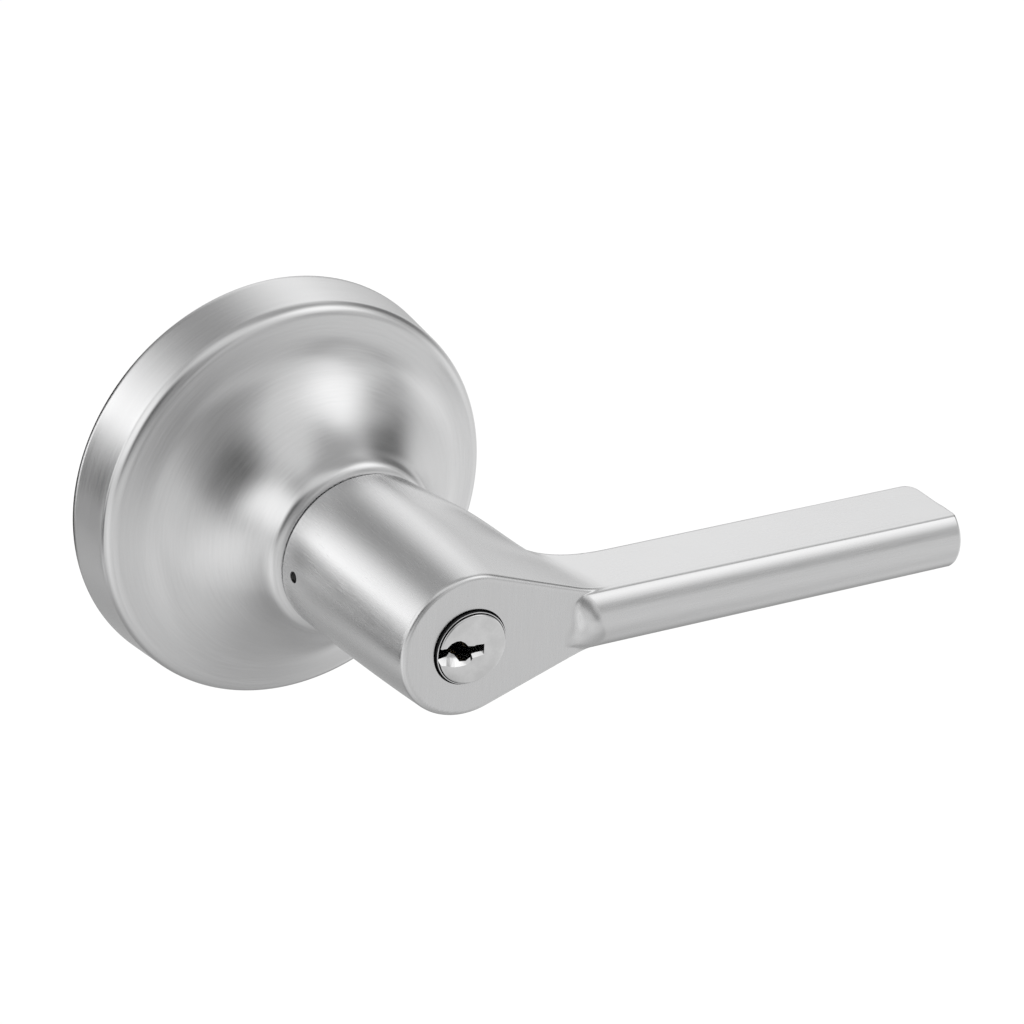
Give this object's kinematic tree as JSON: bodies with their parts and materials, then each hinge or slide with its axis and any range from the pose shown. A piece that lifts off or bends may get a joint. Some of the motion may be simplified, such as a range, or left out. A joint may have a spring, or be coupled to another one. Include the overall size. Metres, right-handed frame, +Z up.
{
  "type": "lever handle lockset",
  "caption": "Outside trim of a door lever lockset: round bell rose, straight lever with a key cylinder in it, spring cage, drive tube and tailpiece.",
  "frame": {"origin": "centre of the tailpiece's end face, which lies on the lever's axis in the plane of the door face (the plane of the rose's back rim)", "axes": "+Z up, +Y into the door along the lever's axis, +X along the lever's blade"},
  "size_m": [0.157, 0.1104, 0.0888],
  "materials": {
    "satin_chrome": "satin brushed chrome",
    "bright_chrome": "polished chrome plate",
    "zinc_plated": "zinc plated steel, dull",
    "plain_steel": "turned steel",
    "spring_steel": "spring wire and ring, dark",
    "brass": "turned brass",
    "bronze": "sintered bronze",
    "zinc_casting": "die-cast zinc, matt"
  },
  "bodies": {
    "trim": {"rose": "satin_chrome", "rose_liner": "zinc_plated", "spring_cage": "zinc_casting", "cage_cover": "zinc_plated", "cover_screw_1": "plain_steel", "cover_screw_2": "plain_steel", "cover_screw_3": "plain_steel", "cover_screw_4": "plain_steel", "hub_bush": "bronze", "through_bolt_post_left": "zinc_plated", "through_bolt_post_right": "zinc_plated", "return_spring_left": "spring_steel", "return_spring_right": "spring_steel"},
    "lever": {"lever": "satin_chrome", "lever_tube": "plain_steel", "spring_driver": "plain_steel", "thrust_washer": "bronze", "retaining_ring": "spring_steel", "tail_guide": "bronze", "catch_bracket": "plain_steel", "catch_spring": "spring_steel", "cylinder_housing": "brass", "pin_spring_cover": "brass", "driver_pin_1": "brass", "driver_pin_2": "brass", "driver_pin_3": "brass", "driver_pin_4": "brass", "driver_pin_5": "brass", "pin_spring_1": "spring_steel", "pin_spring_2": "spring_steel", "pin_spring_3": "spring_steel", "pin_spring_4": "spring_steel", "pin_spring_5": "spring_steel"},
    "plug": {"key_plug": "bright_chrome", "plug_cap": "brass", "tailpiece": "plain_steel", "key_pin_1": "brass", "key_pin_2": "brass", "key_pin_3": "brass", "key_pin_4": "brass", "key_pin_5": "brass"},
    "catch": {"lever_catch": "plain_steel"}
  },
  "joints": [
    {"name": "lever_turn", "type": "hinge", "parent": "trim", "child": "lever", "pos_m": [0, -0.04, 0], "axis": [0, 1, 0], "range_deg": [-50, 50], "stiffness_Nm_per_rad": 2, "deforming": ["return_spring_left", "return_spring_right"]},
    {"name": "plug_turn", "type": "hinge", "parent": "lever", "child": "plug", "pos_m": [0, -0.07, 0], "axis": [0, 1, 0], "range_deg": [-90, 90]},
    {"name": "lever_catch_press", "type": "slide", "parent": "lever", "child": "catch", "axis": [1, 0, 0], "range_m": [0, 0.0026], "stiffness_N_per_m": 150, "springref_m": -0.002, "deforming": ["catch_spring"]}
  ]
}
